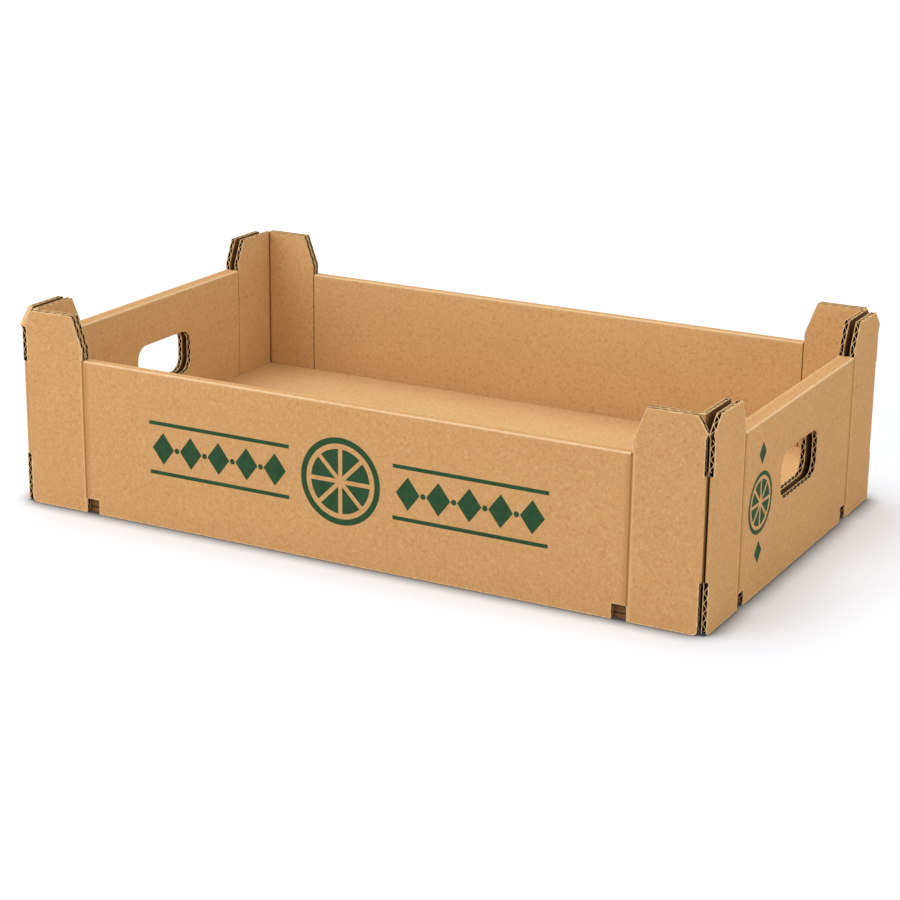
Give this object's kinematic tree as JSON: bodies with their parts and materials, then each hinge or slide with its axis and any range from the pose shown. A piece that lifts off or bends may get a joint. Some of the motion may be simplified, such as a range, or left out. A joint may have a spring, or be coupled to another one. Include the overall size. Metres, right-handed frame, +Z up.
{
  "type": "stacking cardboard tray",
  "caption": "Open corrugated cardboard tray with rolled rims, hand holes in both ends and raised corner posts with stacking lugs, for fruit and vegetables.",
  "frame": {"origin": "centre of the footprint, on the ground under the tray", "axes": "+X along the long walls, +Y from the front wall to the back wall, +Z up"},
  "size_m": [0.5, 0.3, 0.135],
  "materials": {
    "kraft_board": "matt brown kraft board"
  },
  "bodies": {
    "root": {"tray_blank": "kraft_board", "corner_post_front_left": "kraft_board", "corner_post_front_right": "kraft_board", "corner_post_back_left": "kraft_board", "corner_post_back_right": "kraft_board"}
  },
  "joints": []
}
